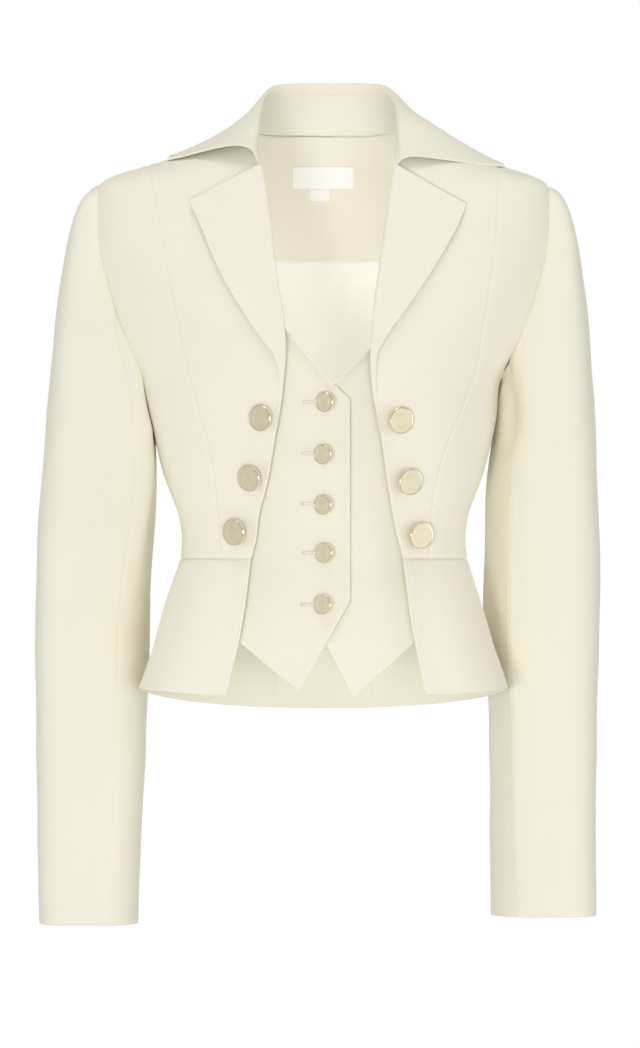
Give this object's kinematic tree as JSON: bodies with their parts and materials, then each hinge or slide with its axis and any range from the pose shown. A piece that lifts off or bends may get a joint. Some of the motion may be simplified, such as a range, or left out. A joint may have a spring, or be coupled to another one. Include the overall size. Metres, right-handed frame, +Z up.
{
  "type": "blazer",
  "caption": "Cropped fitted blazer, hollow as worn, with a winged collar, lapels, princess seams, slim two-piece sleeves, a flared peplum and a buttoned waistcoat front.",
  "frame": {"origin": "on the garment's centre plane at the height of the high shoulder points, where the wearer's shoulders hold it", "axes": "+Z up, -Y out of the wearer's front, +X to the wearer's left"},
  "size_m": [0.4897, 0.2331, 0.7303],
  "materials": {
    "crepe": "matte ivory crepe with a soft sheen",
    "lining_satin": "bright ivory satin",
    "label_ribbon": "woven white ribbon, bare",
    "button_metal": "pale gold metal with a polished rim and a brushed face"
  },
  "bodies": {
    "root": {"back_centre": "crepe", "back_facing": "crepe", "back_lining": "lining_satin", "back_side_left": "crepe", "back_side_right": "crepe", "button_left_1": "button_metal", "button_left_2": "button_metal", "button_left_3": "button_metal", "button_right_1": "button_metal", "button_right_2": "button_metal", "button_right_3": "button_metal", "collar_fall": "crepe", "collar_stand": "crepe", "front_centre_left": "crepe", "front_centre_right": "crepe", "front_side_left": "crepe", "front_side_right": "crepe", "lapel_left": "crepe", "lapel_right": "crepe", "neck_label": "label_ribbon", "peplum_back": "crepe", "peplum_front_left": "crepe", "peplum_front_right": "crepe", "peplum_side_left": "crepe", "peplum_side_right": "crepe", "size_tab": "label_ribbon", "sleeve_top_left": "crepe", "sleeve_top_right": "crepe", "sleeve_under_left": "crepe", "sleeve_under_right": "crepe", "waistcoat_button_1": "button_metal", "waistcoat_button_2": "button_metal", "waistcoat_button_3": "button_metal", "waistcoat_button_4": "button_metal", "waistcoat_button_5": "button_metal", "waistcoat_left": "crepe", "waistcoat_right": "crepe"}
  },
  "joints": []
}
